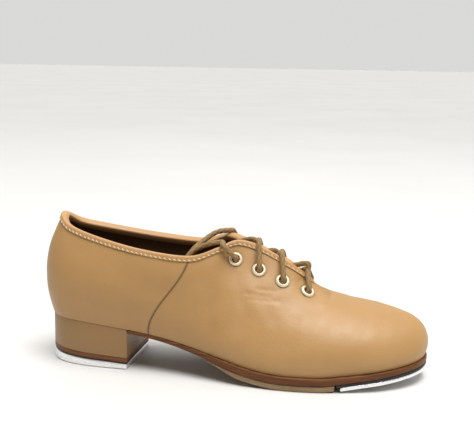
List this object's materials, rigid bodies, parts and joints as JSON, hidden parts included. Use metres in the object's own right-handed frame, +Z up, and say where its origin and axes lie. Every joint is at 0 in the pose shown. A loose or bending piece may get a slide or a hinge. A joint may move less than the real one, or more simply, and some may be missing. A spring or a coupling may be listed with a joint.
{
  "type": "tap shoe",
  "caption": "Low-heeled leather lace-up tap shoe for the right foot: bound collar, eyelet lacing, rubber half sole, and metal taps on boards under toe and heel.",
  "frame": {"origin": "on the floor, in the middle of the shoe's bounding box", "axes": "+X towards the toe, +Y towards the inner side of the foot, +Z up"},
  "size_m": [0.2731, 0.095, 0.1049],
  "materials": {
    "upper_leather": "smooth aniline calf, soft sheen",
    "lining_leather": "soft brown lining leather",
    "stiffener_board": "matte stiffener sheet",
    "insole_board": "matte fibre board",
    "cork": "granulated cork",
    "outsole_leather": "edge-finished sole leather",
    "half_sole_rubber": "matte tan rubber",
    "top_lift": "edge-finished stacked leather",
    "heel_wood": "plain wood",
    "black_board": "matte black fibre board",
    "tap_metal": "polished, lightly scuffed",
    "steel": "plain steel",
    "eyelet_metal": "pale satin brass",
    "lace_cotton": "round braided cotton",
    "aglet_plastic": "clear tan tipping film"
  },
  "bodies": {
    "shoe": {"vamp": "upper_leather", "quarter": "upper_leather", "collar_binding": "upper_leather", "heel_cover": "upper_leather", "vamp_lining": "lining_leather", "quarter_lining": "lining_leather", "sock_liner": "lining_leather", "heel_counter": "stiffener_board", "facing_stay_outer": "stiffener_board", "facing_stay_inner": "stiffener_board", "insole_board": "insole_board", "bottom_filler": "cork", "outsole": "outsole_leather", "half_sole": "half_sole_rubber", "heel_top_lift": "top_lift", "heel_block": "heel_wood", "heel_tap_board": "black_board", "heel_tap": "tap_metal", "shank": "steel", "lace": "lace_cotton", "aglet_outer": "aglet_plastic", "aglet_inner": "aglet_plastic", "eyelet_outer_1": "eyelet_metal", "eyelet_outer_2": "eyelet_metal", "eyelet_outer_3": "eyelet_metal", "eyelet_outer_4": "eyelet_metal", "eyelet_inner_1": "eyelet_metal", "eyelet_inner_2": "eyelet_metal", "eyelet_inner_3": "eyelet_metal", "eyelet_inner_4": "eyelet_metal", "heel_tap_screw_1": "steel", "heel_tap_screw_2": "steel", "heel_tap_screw_3": "steel", "heel_nail_1": "steel", "heel_nail_2": "steel", "heel_nail_3": "steel", "heel_nail_4": "steel"},
    "forefoot": {"toe_tap": "tap_metal", "toe_tap_board": "black_board", "toe_tap_screw_1": "steel", "toe_tap_screw_2": "steel", "toe_tap_screw_3": "steel", "toe_puff": "stiffener_board"},
    "tongue": {"tongue": "lining_leather"}
  },
  "joints": [
    {"name": "forefoot_flex", "type": "hinge", "parent": "shoe", "child": "forefoot", "pos_m": [0.0609, 0.0005, 0.012], "axis": [0, -1, 0], "range_deg": [0, 15], "stiffness_Nm_per_rad": 6, "deforming": ["vamp", "vamp_lining", "outsole", "half_sole", "insole_board", "sock_liner", "bottom_filler"]},
    {"name": "tongue_hinge", "type": "hinge", "parent": "shoe", "child": "tongue", "pos_m": [0.07475, 0.00266, 0.04988], "axis": [0, -1, 0], "range_deg": [0, 12], "stiffness_Nm_per_rad": 0.15, "springref_deg": -2.86}
  ]
}
